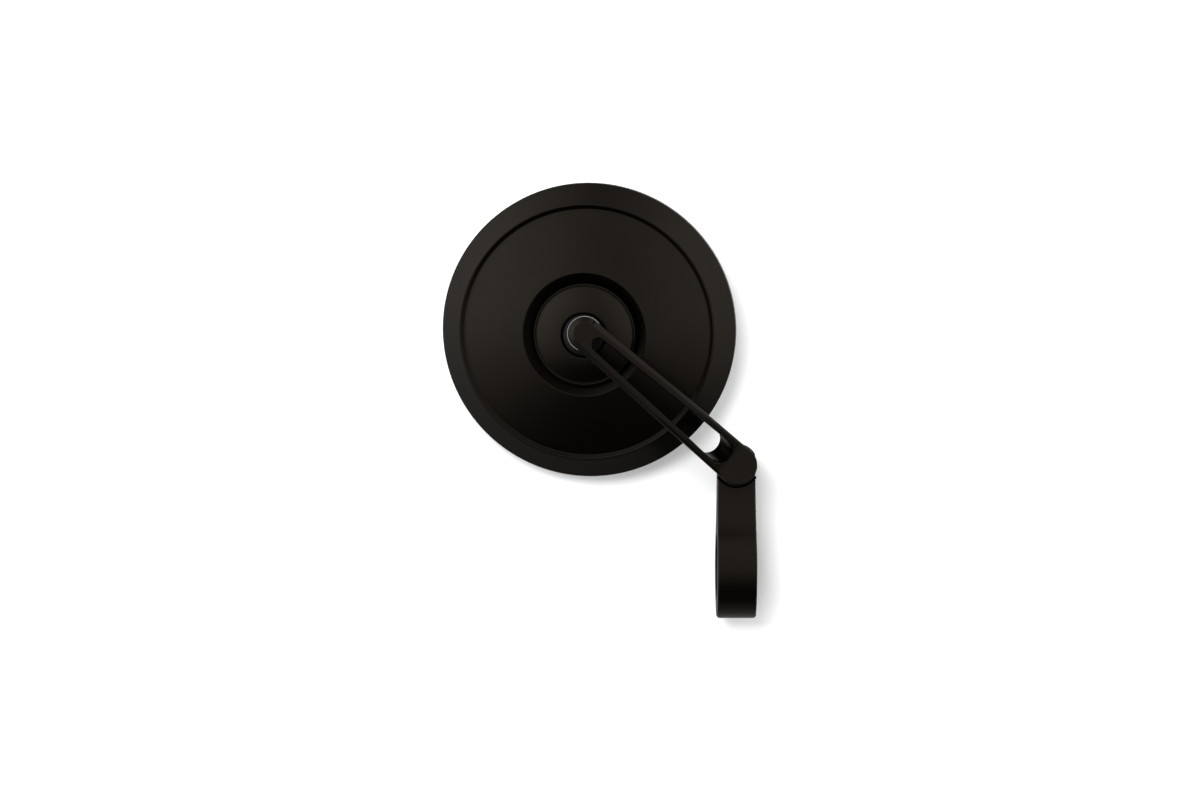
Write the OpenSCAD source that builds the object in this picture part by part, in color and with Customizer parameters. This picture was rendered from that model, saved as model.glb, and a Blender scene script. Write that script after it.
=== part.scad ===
// Motorcycle bar end mirror: a split clamp round the handlebar, a slotted arm that
// swings on the clamp, and a round head that tilts and turns on a ball joint.
// X runs along the handlebar, -Y is forward, towards the back of the head, and Z is up.
// The origin is the middle of the clamp's bore.

/* [Bar clamp] */
// Diameter of the handlebar that the clamp grips
bar_d = 22.2; // [21.5:0.1:23]
// Play between handlebar and bore before the screw is tightened
bar_clearance = 0.05; // [0.02:0.01:0.1]
// Wall of the clamp ring
ring_wall = 5.9; // [5:0.1:7]
// Width of the ring along the handlebar
ring_w = 12.8; // [12.4:0.1:15]
// Width of the two ears
ear_w = 12.2; // [12:0.1:12.4]
// Height of the arm's pivot above the handlebar's axis
pivot_z = 33.3; // [32:0.1:40]
// Distance from the handlebar's axis forward to the front ear's shoulder
ear_front = 8; // [7.5:0.1:8.5]
// Distance from the handlebar's axis back to the rear ear's face
ear_rear = 7; // [6.5:0.1:7.5]
// Radius of the hollow curve from the ring up to each ear
ear_fillet = 24; // [18:0.5:25]
// Radius of the ears' round tops
ear_top_r = 6.8; // [6.7:0.1:7.2]
// Width of the slit between the ears
slit_w = 2; // [1:0.1:2.4]
// Depth of the round seat for the arm's foot in the front ear
seat_depth = 2; // [1.2:0.1:2.4]
// Gap round the foot in its seat
seat_gap = 0.65; // [0.5:0.05:0.8]
// Chamfer round the ring's edges
ring_chamfer = 0.6; // [0.3:0.1:0.8]

/* [Clamp screw] */
// Thread diameter of the screw that closes the clamp and holds the arm
screw_d = 6; // [5:0.5:6]
// Length of the screw under its head
screw_len = 20; // [19:0.5:20.5]
// Diameter of the screw's socket head
screw_head_d = 10; // [9.5:0.1:10.4]
// Height of the screw's socket head
screw_head_h = 6; // [5:0.1:7]
// Width across flats of the hexagon socket
screw_hex = 5; // [4:0.5:6]
// Outer diameter of the washer under the head
screw_washer_d = 11; // [10.6:0.1:11.2]
// Thickness of the washer under the head
screw_washer_t = 1; // [0.8:0.1:1.4]
// Depth of the round pocket for washer and head in the rear ear
head_pocket = 1.5; // [1.2:0.1:2]
// Thickness of the friction washer under the arm's foot
friction_washer_t = 0.5; // [0.4:0.05:0.8]
// Outer diameter of the steel thread insert in the foot
insert_d = 7.8; // [7.4:0.1:8.2]
// Length of the steel thread insert in the foot
insert_len = 6.4; // [4:0.1:6.4]

/* [Arm] */
// Distance between the arm's pivot and the middle of its hub
arm_len = 65.3; // [62:0.1:72]
// Lean of the arm from upright, towards the rider's side
arm_lean = 49.3; // [20:0.1:55]
// Thickness of the arm
arm_t = 9.2; // [8.6:0.1:10]
// Radius of the foot on the clamp
foot_r = 6.4; // [6.2:0.1:6.4]
// Radius of the hub on the ball stud
hub_r = 5.3; // [5.2:0.1:5.8]
// Rise of the hub over the foot, away from the rider
arm_rise = 13.5; // [12:0.1:15]
// Steepest slope of the arm's bend
arm_slope = 36; // [34:1:38]
// Length of the flat foot beyond the pivot
foot_flat = 2; // [1.5:0.1:3]
// Radius of the hollow bend on the front of the foot
foot_bend_r = 4; // [3:0.5:5]
// Radius of the arm's long bend, at its middle
long_bend_r = 26; // [24:0.5:28]
// Width of the slot at the hub
slot_w_hub = 4.5; // [4:0.1:5]
// Width of the slot at the foot
slot_w_foot = 8.2; // [7.6:0.1:8.4]
// Distance from the hub to the middle of the slot's round end
slot_hub = 5.9; // [5.7:0.1:8]
// Distance from the pivot to the slot's end on the front face
slot_foot = 3.6; // [3.5:0.1:6]
// Width of the chamfer along the arm's edges at the hub
arm_chamfer_hub = 1.7; // [1:0.1:2]
// Width of the same chamfer at the foot
arm_chamfer_foot = 0.4; // [0.2:0.1:1]

/* [Ball stud] */
// Diameter of the ball
ball_d = 13; // [12.6:0.1:13.2]
// Distance from the arm's back face to the ball's middle
ball_reach = 9.6; // [9.4:0.1:11]
// Diameter of the neck
neck_d = 6; // [5:0.1:6.4]
// Width across flats of the stud's hexagon
stud_hex = 8.6; // [8:0.1:9]
// Thickness of the stud's hexagon
stud_hex_t = 1.8; // [1.4:0.1:2]
// Diameter of the bright washer under the hub
stud_washer_d = 11.4; // [11:0.1:12]
// Thickness of the bright washer under the hub
stud_washer_t = 0.8; // [0.5:0.1:1]
// Thread diameter of the stud
stud_d = 5; // [4:0.5:5]
// Depth of the stud's thread in the hub
stud_thread = 7.2; // [5:0.1:7.4]

/* [Ball joint] */
// Tilt of the head from straight, about the arm's length
head_tilt = 9; // [0:0.5:12]
// Thickness of the two liner shells
liner_t = 1.05; // [0.8:0.05:1.2]
// Gap between liner and ball, and between liner and socket
liner_gap = 0.08; // [0.05:0.01:0.1]
// Angle from the stud to the front liner's upper edge
liner_top = 50; // [48:1:53]
// Angle from the stud to the front liner's lower edge
liner_middle = 84; // [80:1:84]
// Angle from the head's axis to the rear liner's upper edge
liner_rear = 98; // [98:1:104]
// Angle from the head's axis to the rear liner's lower edge
liner_end = 165; // [150:1:170]
// Wall of the socket cup at its widest
cup_wall = 1.15; // [1:0.05:1.4]
// Play of the cup and the adjuster in the cover's bore
bore_play = 0.05; // [0.03:0.01:0.1]
// Space for the disc spring behind the cup
spring_h = 1.1; // [0.9:0.1:1.4]
// Thickness of the disc spring's sheet
spring_t = 0.6; // [0.5:0.05:0.7]
// Thickness of the adjuster ring
adjuster_t = 2; // [1.6:0.1:2.4]
// Radius of the four holes for the adjuster's pin wrench
pin_r = 0.9; // [0.7:0.1:1.1]

/* [Joint cover] */
// Radius of the dome's rim
cover_r = 16.1; // [16:0.1:17]
// Height of the dome over the ball's middle
cover_top = 4.2; // [4:0.1:4.5]
// Radius of the dome's arch
dome_arch_r = 11; // [10:0.5:13]
// Radius at which the dome is highest
dome_crest_r = 8.5; // [8.2:0.1:9]
// Radius of the opening round the stud
mouth_r = 6.9; // [6.8:0.05:7]
// Wall of the cover's skirt round the socket
skirt_wall = 1.5; // [1.2:0.1:1.7]
// Depth of the cover's flange below the ball's middle
flange_depth = 3; // [2.8:0.1:3.2]
// Number of screws that hold the cover
cover_screws_n = 3; // [2:1:4]
// Radius of the circle of the cover's screws
cover_screw_circle = 13.6; // [13.3:0.1:14]
// Thread diameter of the cover's screws
cover_screw_d = 2.5; // [2:0.1:3]
// Depth of the screws' threads in the cover
cover_screw_depth = 3.5; // [2.5:0.1:4]
// Thickness of the seal ring in the gap round the cover
seal_d = 1.2; // [1:0.1:1.4]
// Play of the seal ring in the housing's recess
seal_play = 0.03; // [0.02:0.01:0.1]

/* [Housing] */
// Radius of the head
head_r = 48.35; // [48:0.05:50]
// Distance from the ball's middle back to the head's outer edge
edge_depth = 11.6; // [11.4:0.1:13]
// Height of the head's edge band
edge_h = 4.3; // [4.1:0.1:6]
// Radius of the ridge inside the outer bevel
ridge_r = 41.7; // [41:0.1:43]
// Height of the ridge over the outer edge
ridge_h = 6.5; // [6:0.1:7]
// Width of the step's slanted wall inside the ridge
step_w = 2.3; // [1.7:0.1:3]
// Depth of the step inside the ridge
step_depth = 2.1; // [1.6:0.1:2.4]
// Radius of the collar round the joint cover
collar_r = 20.1; // [19.8:0.1:21]
// Height of the collar over the outer edge
collar_h = 13.5; // [13.3:0.1:14]
// Bulge of the main cone between step and collar
cone_bulge = 0.5; // [0.1:0.1:1]
// Radius of the ledge inside the collar
ledge_r = 17.6; // [17.4:0.1:18.2]
// Depth of the ledge inside the collar
ledge_depth = 2.3; // [2:0.1:2.5]
// Gap between joint cover and ledge
cover_gap = 0.35; // [0.3:0.05:0.6]
// Wall of the housing's shell
shell_wall = 2.2; // [1.8:0.1:2.6]
// Thickness of the web that carries the joint cover
web_t = 2.5; // [2.2:0.1:3]
// Play of the cover's skirt in the web
skirt_play = 0.1; // [0.05:0.05:0.2]

/* [Mirror glass] */
// Thickness of the glass
glass_t = 2.5; // [2:0.1:3]
// Radius of the glass's curve, in metres
glass_curve = 1.2; // [0.8:0.1:2]
// Depth of the glass's edge inside the rim
glass_inset = 0.5; // [0.3:0.1:0.8]
// Wall of the housing beside the glass
bezel_wall = 1.9; // [1.6:0.1:2.2]
// Width of the sealing ring round the glass
glass_seal_w = 0.6; // [0.4:0.05:0.8]
// Thickness of the adhesive foam ring behind the glass
pad_t = 0.8; // [0.5:0.05:1]
// Width of the adhesive foam ring behind the glass
pad_w = 5; // [4:0.1:6]

/* [Hidden] */
$fn = 96;

// Small play of threads, room beyond a thread's end, and play round a screw in its hole
thread_play = 0.05;
thread_room = 0.3;
hole_play = 0.25;

// The overlap that makes a cut run clear through a wall
through = 1;

// How far the slot's tapered sides start outside its round end
slot_flare = 0.15;

// Small chamfers: on the screws, round the head's edges and on the ridge's crest
screw_chamfer = 0.5;
edge_chamfer = 0.4;
rim_chamfer = 0.6;
crest_half = 0.2;

// Steps along an arc in a profile
arc_steps = 16;

black = "#26231f";
nylon = "#141414";
steel = "#b9bcc0";
dark_steel = "#3a3b3d";
rubber = "#18181a";
mirror = "#cfd8de";

// Clamp
bore_r = bar_d / 2 + bar_clearance;
ring_r = bar_d / 2 + ring_wall;
seat_y = -(ear_front - seat_depth);
seat_r = foot_r + seat_gap;
screw_seat_y = ear_rear - head_pocket;
screw_under_head = screw_seat_y + screw_washer_t;
screw_hole_r = screw_d / 2 + hole_play;

// Arm, in its own frame: u from the pivot to the hub, v forward from the foot's seat
foot_y = seat_y - friction_washer_t;
bend_middle_r = foot_bend_r + arm_t / 2;
straight_rise = arm_rise - (bend_middle_r + long_bend_r) * (1 - cos(arm_slope));
straight_run = straight_rise / tan(arm_slope);
bend_end_u = foot_flat + bend_middle_r * sin(arm_slope);
long_bend_u = bend_end_u + straight_run;
arm_flat_u = long_bend_u + long_bend_r * sin(arm_slope);
arm_top = arm_rise + arm_t;
pivot_thread_depth = foot_y - (screw_under_head - screw_len) + thread_room;

// Hub and ball
hub_x = -arm_len * sin(arm_lean);
hub_z = pivot_z + arm_len * cos(arm_lean);
hub_back_y = foot_y - arm_rise;
ball_r = ball_d / 2;
ball_y = hub_back_y + ball_reach;
arm_way = [sin(arm_lean), 0, -cos(arm_lean)];
neck_start = ball_reach - stud_washer_t - stud_hex_t;

// Ball joint, in the head's frame: z along the head's axis, from the ball's middle
liner_in_r = ball_r + liner_gap;
liner_out_r = liner_in_r + liner_t;
socket_r = liner_out_r + liner_gap;
bore_in_r = socket_r + cup_wall + bore_play;
skirt_r = bore_in_r + skirt_wall;
lip_r = dome_crest_r - mouth_r;
cup_bottom = -(socket_r + cup_wall);
adjuster_top = cup_bottom - spring_h;
adjuster_bottom = adjuster_top - adjuster_t;
web_top = -flange_depth;
web_bottom = web_top - web_t;

// Housing, in the head's frame
edge_z = -edge_depth;
rim_z = edge_z - edge_h;
ridge_z = edge_z + ridge_h;
step_r = ridge_r - step_w;
step_z = ridge_z - step_depth;
collar_z = edge_z + collar_h;
ledge_z = collar_z - ledge_depth;
seal_z = (web_top + ledge_z) / 2;
cone_way = atan2(collar_z - step_z, step_r - collar_r);
recess_r = cover_r + cover_gap;
glass_seat_r = head_r - bezel_wall;
glass_r = glass_seat_r - glass_seal_w;
glass_sag = glass_r * glass_r / (2000 * glass_curve);
glass_front_z = rim_z + glass_inset;
glass_back_z = glass_front_z + glass_t;
shelf_z = glass_back_z + pad_t;
shelf_in_r = glass_seat_r - pad_w;

// A point on a circle, and points along an arc from angle a to angle b. With off at 0.5
// the points lie halfway between the usual ones.
function on_circle(c, r, a) = [c[0] + r * cos(a), c[1] + r * sin(a)];
function arc(c, r, a, b, off = 0) = [for (i = [off:arc_steps - off])
    on_circle(c, r, a + (b - a) * i / arc_steps)];

// Puts a shape drawn along +Z at a point of the row, pointing forward or back
module forward(at) { translate(at) rotate([90, 0, 0]) children(); }
module backward(at) { translate(at) rotate([-90, 0, 0]) children(); }

// Extrudes a side view, drawn as (Y, Z), along X
module along_bar(w) {
    rotate([90, 0, 90])
        translate([0, 0, -w / 2])
            linear_extrude(height = w) children();
}

// The arm's frame: x is u, y runs across the arm and z is v
module arm_frame() {
    translate([0, foot_y, pivot_z])
        rotate([0, -arm_lean, 0])
            rotate([90, -90, 0])
                children();
}

// The head's frame: z is the head's axis, out of its back
module head_frame() {
    translate([hub_x, ball_y, hub_z])
        rotate(a = head_tilt, v = arm_way)
            rotate([90, 0, 0])
                children();
}

// A ring between two radii and two heights
module ring(r_in, r_out, z0, z1) {
    rotate_extrude()
        translate([r_in, z0])
            square([r_out - r_in, z1 - z0]);
}

// A disc with a hexagon's flats
module hexagon(flats, z0, z1) {
    translate([0, 0, z0])
        cylinder(d = flats / cos(30), h = z1 - z0, $fn = 6);
}

// One ear's side view: a block whose outer face runs down to the ring in a hollow curve.
// side is -1 for the front ear and 1 for the rear ear.
module ear_outline(face, side) {
    centre_y = face + ear_fillet;
    centre_z = sqrt(pow(ring_r + ear_fillet, 2) - pow(centre_y, 2));
    touch = atan2(centre_z, centre_y);
    curve = [for (i = [0:arc_steps])
        let (a = 180 + touch * (1 - i / arc_steps))
        [centre_y + ear_fillet * cos(a), centre_z + ear_fillet * sin(a)]];
    polygon([for (p = concat([[0, 0]], curve, [[face, pivot_z + ear_top_r], [0, pivot_z + ear_top_r]]))
        [side * p[0], p[1]]]);
}

// The clamp seen from the front: the ears are a little narrower than the ring
module clamp_front_view() {
    taper_z = ring_r * 0.6;
    polygon([[-ring_w / 2, 0], [ring_w / 2, 0], [ring_w / 2, taper_z], [ear_w / 2, ring_r + 2],
             [ear_w / 2, pivot_z], [-ear_w / 2, pivot_z], [-ear_w / 2, ring_r + 2],
             [-ring_w / 2, taper_z]]);
    intersection() {
        translate([0, pivot_z])
            circle(r = ear_top_r);
        translate([-ear_w / 2, pivot_z - through])
            square([ear_w, ear_top_r + 2 * through]);
    }
}

// The ring with its chamfered edges, turned about the handlebar
module clamp_ring() {
    rotate([0, 90, 0])
        rotate_extrude()
            polygon([[bore_r - through, -ring_w / 2], [ring_r - ring_chamfer, -ring_w / 2],
                     [ring_r, -ring_w / 2 + ring_chamfer], [ring_r, ring_w / 2 - ring_chamfer],
                     [ring_r - ring_chamfer, ring_w / 2], [bore_r - through, ring_w / 2]]);
}

module clamp() {
    color(black)
    difference() {
        union() {
            clamp_ring();
            intersection() {
                union() {
                    along_bar(ring_w) ear_outline(ear_front, -1);
                    along_bar(ring_w) ear_outline(ear_rear, 1);
                }
                rotate([90, 0, 0])
                    translate([0, 0, -ring_r])
                        linear_extrude(height = 2 * ring_r) clamp_front_view();
            }
        }
        rotate([0, 90, 0])
            cylinder(r = bore_r, h = ring_w + 2 * through, center = true);
        translate([-ring_w, -slit_w / 2, 0])
            cube([2 * ring_w, slit_w, pivot_z + ear_top_r + through]);
        forward([0, seat_y, pivot_z])
            cylinder(r = seat_r, h = ear_front);
        translate([-ring_w, seat_y - ear_front, pivot_z])
            cube([2 * ring_w, ear_front, ear_top_r + through]);
        backward([0, screw_seat_y, pivot_z])
            cylinder(r = screw_washer_d / 2 + hole_play, h = ear_rear);
        backward([0, -ear_front, pivot_z])
            cylinder(r = screw_hole_r, h = ear_front + ear_rear);
    }
}

module clamp_screw() {
    socket_depth = screw_head_h * 0.55;
    color(dark_steel)
    backward([0, screw_under_head, pivot_z])
        difference() {
            rotate_extrude()
                polygon([[0, -screw_len], [screw_d / 2 - screw_chamfer, -screw_len],
                         [screw_d / 2, screw_chamfer - screw_len], [screw_d / 2, 0],
                         [screw_head_d / 2, 0], [screw_head_d / 2, screw_head_h - screw_chamfer],
                         [screw_head_d / 2 - screw_chamfer, screw_head_h], [0, screw_head_h]]);
            hexagon(screw_hex, screw_head_h - socket_depth, screw_head_h + through);
        }
}

module screw_washer() {
    color(steel)
    backward([0, screw_seat_y, pivot_z])
        ring(screw_hole_r, screw_washer_d / 2, 0, screw_washer_t);
}

module friction_washer() {
    color(nylon)
    forward([0, seat_y, pivot_z])
        ring(screw_hole_r, foot_r - edge_chamfer, 0, friction_washer_t);
}

// The arm's front or back face as (u, v) points, from before the pivot to beyond the hub.
// lift is 0 for the back face and arm_t for the front face.
function arm_face(lift, off = 0) = concat(
    [[-2 * foot_r, lift]],
    arc([foot_flat, bend_middle_r + arm_t / 2], bend_middle_r + arm_t / 2 - lift, 270, 270 + arm_slope, off),
    arc([arm_flat_u, arm_rise + arm_t / 2 - long_bend_r], long_bend_r - arm_t / 2 + lift, 90 + arm_slope, 90, off),
    [[arm_len + 2 * hub_r, arm_rise + lift]]);

// Where the chamfer along the edges starts, as a distance from the arm's middle line
function arm_half(u) = foot_r + (hub_r - foot_r) * u / arm_len;
function chamfer_at(u) = arm_chamfer_foot + (arm_chamfer_hub - arm_chamfer_foot) * u / arm_len;
function crown(u) = arm_half(u) - chamfer_at(u);

// A tapered bar with round ends, as an outline: radius r0 at u0 and r1 at u1
module tapered_bar(u0, r0, u1, r1) {
    tilt = asin((r0 - r1) / (u1 - u0));
    polygon(concat(arc([u1, 0], r1, tilt - 90, 0), arc([u1, 0], r1, 0, 90 - tilt),
                   arc([u0, 0], r0, 90 - tilt, 180), arc([u0, 0], r0, 180, 270 + tilt)));
}

// The bent bar between its two faces
module arm_band() {
    rotate([90, 0, 0])
        translate([0, 0, -2 * foot_r])
            linear_extrude(height = 4 * foot_r)
                polygon(concat(arm_face(0), [for (i = [len(arm_face(arm_t)) - 1:-1:0]) arm_face(arm_t)[i]]));
}

// All that lies under the chamfer along one edge; side is 1 or -1
module under_edge_chamfer(side) {
    face = arm_face(arm_t, 0.5);
    reach = 6 * arm_top;
    rotate([90 - side * 45, 0, 0])
        translate([0, 0, -reach / 2])
            linear_extrude(height = reach)
                polygon(concat([for (p = face) [p[0], (p[1] + crown(p[0])) * cos(45)]],
                               [[arm_len + 2 * hub_r, -reach], [-2 * foot_r, -reach]]));
}

// All that lies under the chamfer round the hub's end
module under_hub_chamfer() {
    start = crown(arm_len);
    translate([-3 * foot_r, -3 * foot_r, -through])
        cube([arm_len + 3 * foot_r, 6 * foot_r, arm_top + 2 * through]);
    translate([arm_len, 0, 0])
        rotate_extrude()
            polygon([[0, -through], [start + arm_top, -through], [start + arm_top, 0],
                     [start, arm_top], [0, arm_top]]);
}

// The slot: its sides taper towards the hub, and its end at the foot leans with the bend
module arm_slot() {
    end_r = slot_w_foot / 2;
    far_u = arm_len - slot_hub;
    reach = 2 * arm_len;
    intersection() {
        translate([0, 0, -through])
            linear_extrude(height = arm_top + 2 * through)
                tapered_bar(0, end_r + slot_flare, far_u, slot_w_hub / 2);
        translate([slot_foot, 0, arm_t])
            rotate([0, -arm_slope, 0])
                translate([end_r, 0, -reach])
                    linear_extrude(height = 2 * reach) {
                        circle(r = end_r);
                        translate([0, -end_r])
                            square([reach, 2 * end_r]);
                    }
    }
}

module arm() {
    color(black)
    arm_frame()
        difference() {
            intersection() {
                union() {
                    intersection() {
                        translate([0, 0, -through])
                            linear_extrude(height = arm_top + 2 * through)
                                tapered_bar(0, foot_r, arm_len, hub_r);
                        arm_band();
                    }
                    cylinder(r = foot_r - edge_chamfer, h = arm_t / 2);
                }
                under_edge_chamfer(1);
                under_edge_chamfer(-1);
                under_hub_chamfer();
            }
            arm_slot();
            translate([0, 0, -through])
                cylinder(r = screw_d / 2 + thread_play, h = pivot_thread_depth + through);
            translate([0, 0, -through])
                cylinder(r = insert_d / 2, h = insert_len + through);
            translate([arm_len, 0, arm_rise - through])
                cylinder(r = stud_d / 2 + thread_play, h = stud_thread + thread_room + through);
        }
}

module foot_insert() {
    color(steel)
    arm_frame()
        ring(screw_d / 2 + thread_play, insert_d / 2, 0, insert_len);
}

module stud_washer() {
    color(steel)
    backward([hub_x, hub_back_y, hub_z])
        ring(stud_d / 2 + thread_play, stud_washer_d / 2, 0, stud_washer_t);
}

module ball_stud() {
    color(steel)
    backward([hub_x, hub_back_y, hub_z]) {
        translate([0, 0, -stud_thread])
            cylinder(d = stud_d, h = stud_thread + stud_washer_t + through);
        hexagon(stud_hex, stud_washer_t, stud_washer_t + stud_hex_t);
        translate([0, 0, stud_washer_t])
            cylinder(d = neck_d, h = ball_reach - stud_washer_t);
        translate([0, 0, ball_reach])
            sphere(r = ball_r);
    }
}

// A band of a thick sphere between two angles from its axis
module sphere_band(r_in, r_out, top, bottom) {
    rotate_extrude()
        polygon(concat(arc([0, 0], r_out, 90 - top, 90 - bottom), arc([0, 0], r_in, 90 - bottom, 90 - top)));
}

module front_liner() {
    color(nylon)
    forward([hub_x, ball_y, hub_z])
        sphere_band(liner_in_r, liner_out_r, liner_top, liner_middle);
}

module rear_liner() {
    color(nylon)
    head_frame()
        sphere_band(liner_in_r, liner_out_r, liner_rear, liner_end);
}

module socket_cup() {
    color(steel)
    head_frame()
        difference() {
            translate([0, 0, cup_bottom])
                cylinder(r = bore_in_r - bore_play, h = -cup_bottom);
            sphere(r = socket_r);
            translate([0, 0, cup_bottom - through])
                cylinder(r = socket_r / 3, h = -cup_bottom);
        }
}

module disc_spring() {
    inner_r = socket_r * 0.6;
    outer_r = bore_in_r - hole_play;
    color(dark_steel)
    head_frame()
        rotate_extrude()
            polygon([[inner_r, cup_bottom - spring_t], [inner_r, cup_bottom],
                     [outer_r, adjuster_top + spring_t], [outer_r, adjuster_top]]);
}

module adjuster_ring() {
    pin_circle = (socket_r / 2 + bore_in_r) / 2;
    color(steel)
    head_frame()
        difference() {
            ring(socket_r / 2, bore_in_r - bore_play, adjuster_bottom, adjuster_top);
            for (a = [0:90:270])
                rotate(a)
                    translate([pin_circle, 0, adjuster_bottom - through])
                        cylinder(r = pin_r, h = adjuster_t / 2 + through);
        }
}

// The dome's outline from its mouth over the crest to its rim
function dome_points() = concat(
    [[mouth_r, sqrt(pow(socket_r, 2) - pow(mouth_r, 2))]],
    arc([dome_crest_r, cover_top - lip_r], lip_r, 180, 90),
    arc([dome_crest_r, cover_top - dome_arch_r], dome_arch_r, 90, acos((cover_r - dome_crest_r) / dome_arch_r)));

module joint_cover() {
    color(black)
    head_frame()
        difference() {
            rotate_extrude()
                polygon(concat(dome_points(),
                    [[cover_r, web_top], [skirt_r, web_top], [skirt_r, adjuster_bottom],
                     [bore_in_r, adjuster_bottom], [bore_in_r, liner_gap], [mouth_r, liner_gap]]));
            sphere(r = socket_r);
            for (i = [0:cover_screws_n - 1])
                rotate(360 / cover_screws_n * i)
                    translate([cover_screw_circle, 0, web_top - through])
                        cylinder(r = cover_screw_d / 2 + thread_play, h = cover_screw_depth + thread_room + through);
            seal_groove();
        }
}

// The groove round the cover's flange that carries its seal
module seal_groove() {
    half = seal_d / 2 + thread_play;
    ring(recess_r - seal_d - 2 * seal_play, recess_r, seal_z - half, seal_z + half);
}

module cover_seal() {
    color(rubber)
    head_frame()
        rotate_extrude()
            translate([recess_r - seal_play - seal_d / 2, seal_z])
                circle(d = seal_d, $fn = 32);
}

module cover_screws() {
    head_h = cover_screw_d;
    color(dark_steel)
    head_frame()
        for (i = [0:cover_screws_n - 1])
            rotate(360 / cover_screws_n * i)
                translate([cover_screw_circle, 0, web_bottom])
                    difference() {
                        union() {
                            cylinder(d = cover_screw_d, h = web_t + cover_screw_depth);
                            translate([0, 0, -head_h])
                                cylinder(d = 1.8 * cover_screw_d, h = head_h);
                        }
                        hexagon(0.8 * cover_screw_d, -head_h - through, -head_h / 2);
                    }
}

// The shell's inside, which follows the outside at the wall's thickness
module housing_cavity() {
    under_cone = shell_wall / cos(cone_way);
    web_r = recess_r + shell_wall;
    rotate_extrude()
        polygon([[skirt_r, web_bottom], [web_r, web_bottom], [web_r, ledge_z - shell_wall],
                 [collar_r, collar_z - under_cone], [step_r, step_z - under_cone],
                 [shelf_in_r, step_z - under_cone], [shelf_in_r, shelf_z - through],
                 [skirt_r, shelf_z - through]]);
}

module housing() {
    cone_middle = [(collar_r + step_r) / 2, (collar_z + step_z) / 2];
    cone_l = norm([collar_r - step_r, collar_z - step_z]);
    cone_arc_r = (cone_l * cone_l / 4 + cone_bulge * cone_bulge) / (2 * cone_bulge);
    cone_half = asin(cone_l / 2 / cone_arc_r);
    cone_centre = on_circle(cone_middle, cone_bulge - cone_arc_r, 90 - cone_way);
    web_in_r = skirt_r + skirt_play;
    color(black)
    head_frame()
        difference() {
            rotate_extrude()
                polygon(concat(
                    [[web_in_r, web_top], [recess_r, web_top], [recess_r, ledge_z], [ledge_r, ledge_z]],
                    arc(cone_centre, cone_arc_r, 90 - cone_way + cone_half, 90 - cone_way - cone_half),
                    [[ridge_r - crest_half, ridge_z], [ridge_r + crest_half, ridge_z],
                     [head_r - edge_chamfer, edge_z], [head_r, edge_z - edge_chamfer],
                     [head_r, rim_z + rim_chamfer], [head_r - rim_chamfer, rim_z],
                     [glass_seat_r, rim_z], [glass_seat_r, shelf_z], [web_in_r, shelf_z]]));
            housing_cavity();
            for (i = [0:cover_screws_n - 1])
                rotate(360 / cover_screws_n * i)
                    translate([cover_screw_circle, 0, web_bottom - through])
                        cylinder(r = cover_screw_d / 2 + skirt_play, h = web_t + 2 * through);
        }
}

module glass_pad() {
    color(rubber)
    head_frame()
        ring(shelf_in_r + edge_chamfer, glass_r, glass_back_z, shelf_z);
}

module glass_seal() {
    color(rubber)
    head_frame()
        ring(glass_r, glass_seat_r, glass_front_z, shelf_z);
}

// The glass is bent to a wide sphere, so its middle stands a little proud
module mirror_glass() {
    glass_steps = 12;
    front = [for (i = [0:glass_steps])
        let (r = glass_r * i / glass_steps)
        [r, glass_front_z - glass_sag * (1 - pow(i / glass_steps, 2))]];
    color(mirror)
    head_frame()
        rotate_extrude()
            polygon(concat(front, [for (i = [glass_steps:-1:0]) front[i] + [0, glass_t]]));
}

clamp();
clamp_screw();
screw_washer();
friction_washer();
arm();
foot_insert();
stud_washer();
ball_stud();
front_liner();
rear_liner();
socket_cup();
disc_spring();
adjuster_ring();
joint_cover();
cover_seal();
cover_screws();
housing();
glass_pad();
glass_seal();
mirror_glass();
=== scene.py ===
"""Looks of a motorcycle bar end mirror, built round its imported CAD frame.

The mirror lies on a pale table, glass down, as in the photograph. The table is a plane
behind the object, because the frame's +Z is up once the clamp is on a handlebar.
Sizes are in millimetres until they reach Blender, which works in metres.
"""

import logging
import math
from dataclasses import dataclass
from enum import Enum
from typing import Any, Optional, Sequence

import bpy
from mathutils import Matrix, Vector

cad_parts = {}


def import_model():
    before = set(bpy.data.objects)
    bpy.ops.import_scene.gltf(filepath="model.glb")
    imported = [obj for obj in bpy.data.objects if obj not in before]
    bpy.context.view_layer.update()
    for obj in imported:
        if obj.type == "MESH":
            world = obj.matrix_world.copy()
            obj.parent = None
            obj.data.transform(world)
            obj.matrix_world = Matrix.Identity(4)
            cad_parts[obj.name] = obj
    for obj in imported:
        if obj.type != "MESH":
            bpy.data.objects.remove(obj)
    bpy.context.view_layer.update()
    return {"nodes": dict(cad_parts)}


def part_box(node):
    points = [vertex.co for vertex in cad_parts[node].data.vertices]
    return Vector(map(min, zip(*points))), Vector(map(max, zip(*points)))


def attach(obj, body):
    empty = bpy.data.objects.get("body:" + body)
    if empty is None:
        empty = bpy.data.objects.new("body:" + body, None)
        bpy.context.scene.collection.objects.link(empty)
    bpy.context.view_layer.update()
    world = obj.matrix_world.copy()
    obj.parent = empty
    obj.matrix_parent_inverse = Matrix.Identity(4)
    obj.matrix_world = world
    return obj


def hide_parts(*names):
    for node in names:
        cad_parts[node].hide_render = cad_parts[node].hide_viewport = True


LOG = logging.getLogger("bar_end_mirror")
Point = tuple[float, float]

# A wave texture turns through this many radians in one unit of length at scale 1.
WAVE_RADIANS = 20.0
# A Mix node has its sockets once for every data type; these three are its colours.
MIX_A, MIX_B, MIX_RESULT = 6, 7, 2
# Points of a turned piece that lie closer than this are one point, in metres.
SAME_POINT = 1e-7


class Body(Enum):
    """The bodies that new pieces ride on."""

    MOUNT = "bar_mount"
    ARM = "mirror_arm"
    HEAD = "head"


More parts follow.
